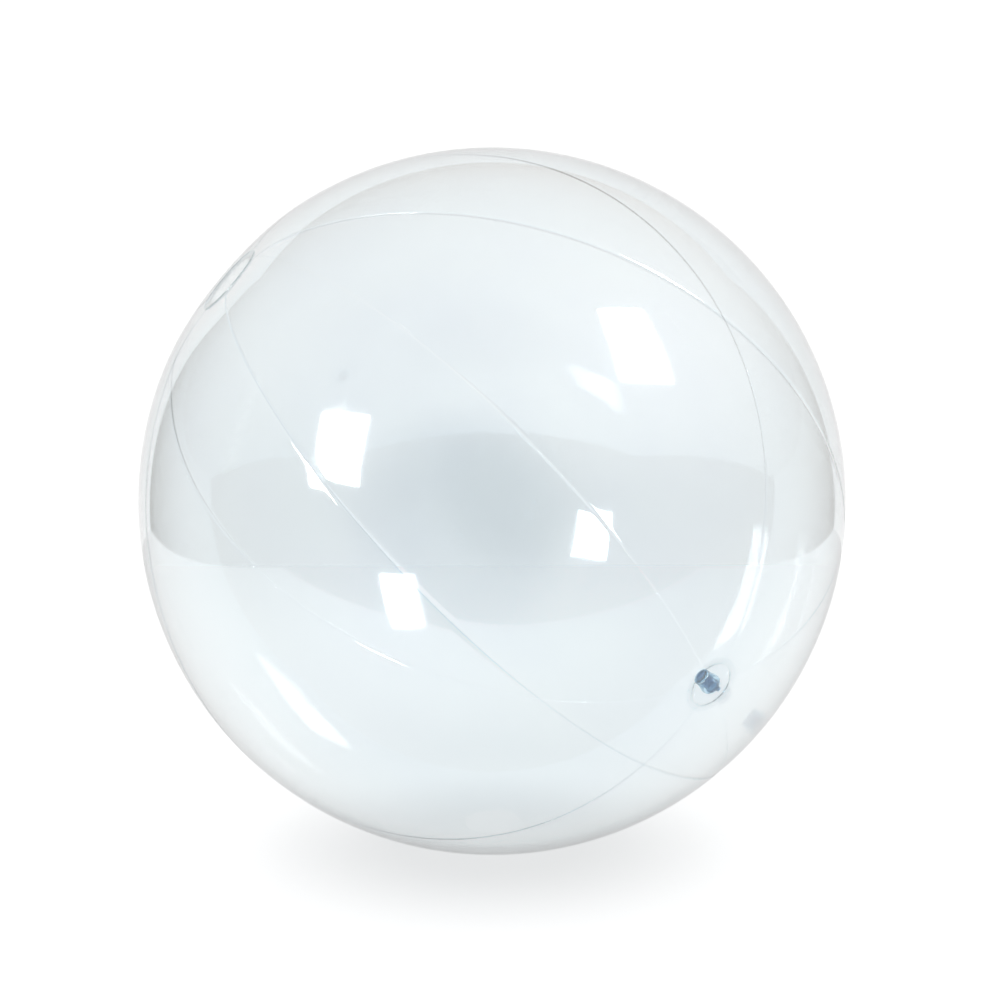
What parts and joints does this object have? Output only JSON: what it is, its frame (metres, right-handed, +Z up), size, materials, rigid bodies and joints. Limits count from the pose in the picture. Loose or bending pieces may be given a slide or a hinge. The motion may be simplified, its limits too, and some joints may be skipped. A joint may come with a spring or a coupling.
{
  "type": "beach ball",
  "caption": "Clear inflatable beach ball welded from film gores, with a round disc at each pole and a sunk blow-up valve with a plug on a strap.",
  "frame": {"origin": "the middle of the small flat that the ball rests on, on the floor", "axes": "+Z up; the valve's axis points out and down, 40.7 degrees below the horizontal, turned 21.3 degrees from +X towards +Y; -Y is the front"},
  "size_m": [0.33, 0.33, 0.3293],
  "materials": {
    "clear_film": "gloss",
    "clear_disc": "gloss",
    "valve_moulding": "gloss"
  },
  "bodies": {
    "ball": {"gore_1": "clear_film", "gore_2": "clear_film", "gore_3": "clear_film", "gore_4": "clear_film", "gore_5": "clear_film", "gore_6": "clear_film", "plain_end_disc": "clear_disc", "valve_end_disc": "clear_disc", "valve_flange": "valve_moulding", "valve_web": "valve_moulding"},
    "stem": {"valve_stem": "valve_moulding"},
    "plug": {"valve_plug": "valve_moulding", "plug_strap": "valve_moulding"},
    "flap": {"check_flap": "clear_disc"}
  },
  "joints": [
    {"name": "valve_pull", "type": "slide", "parent": "ball", "child": "stem", "axis": [0.7063, 0.2754, -0.6521], "range_m": [0, 0.012], "deforming": ["valve_web"]},
    {"name": "plug_lift", "type": "hinge", "parent": "stem", "child": "plug", "pos_m": [0.11951, 0.03994, 0.05607], "axis": [-0.6076, -0.2369, -0.7581], "range_deg": [0, 150]},
    {"name": "flap_open", "type": "hinge", "parent": "stem", "child": "flap", "pos_m": [0.10898, 0.04689, 0.06233], "axis": [-0.6076, -0.2369, -0.7581], "range_deg": [0, 70], "stiffness_Nm_per_rad": 0.00002}
  ]
}
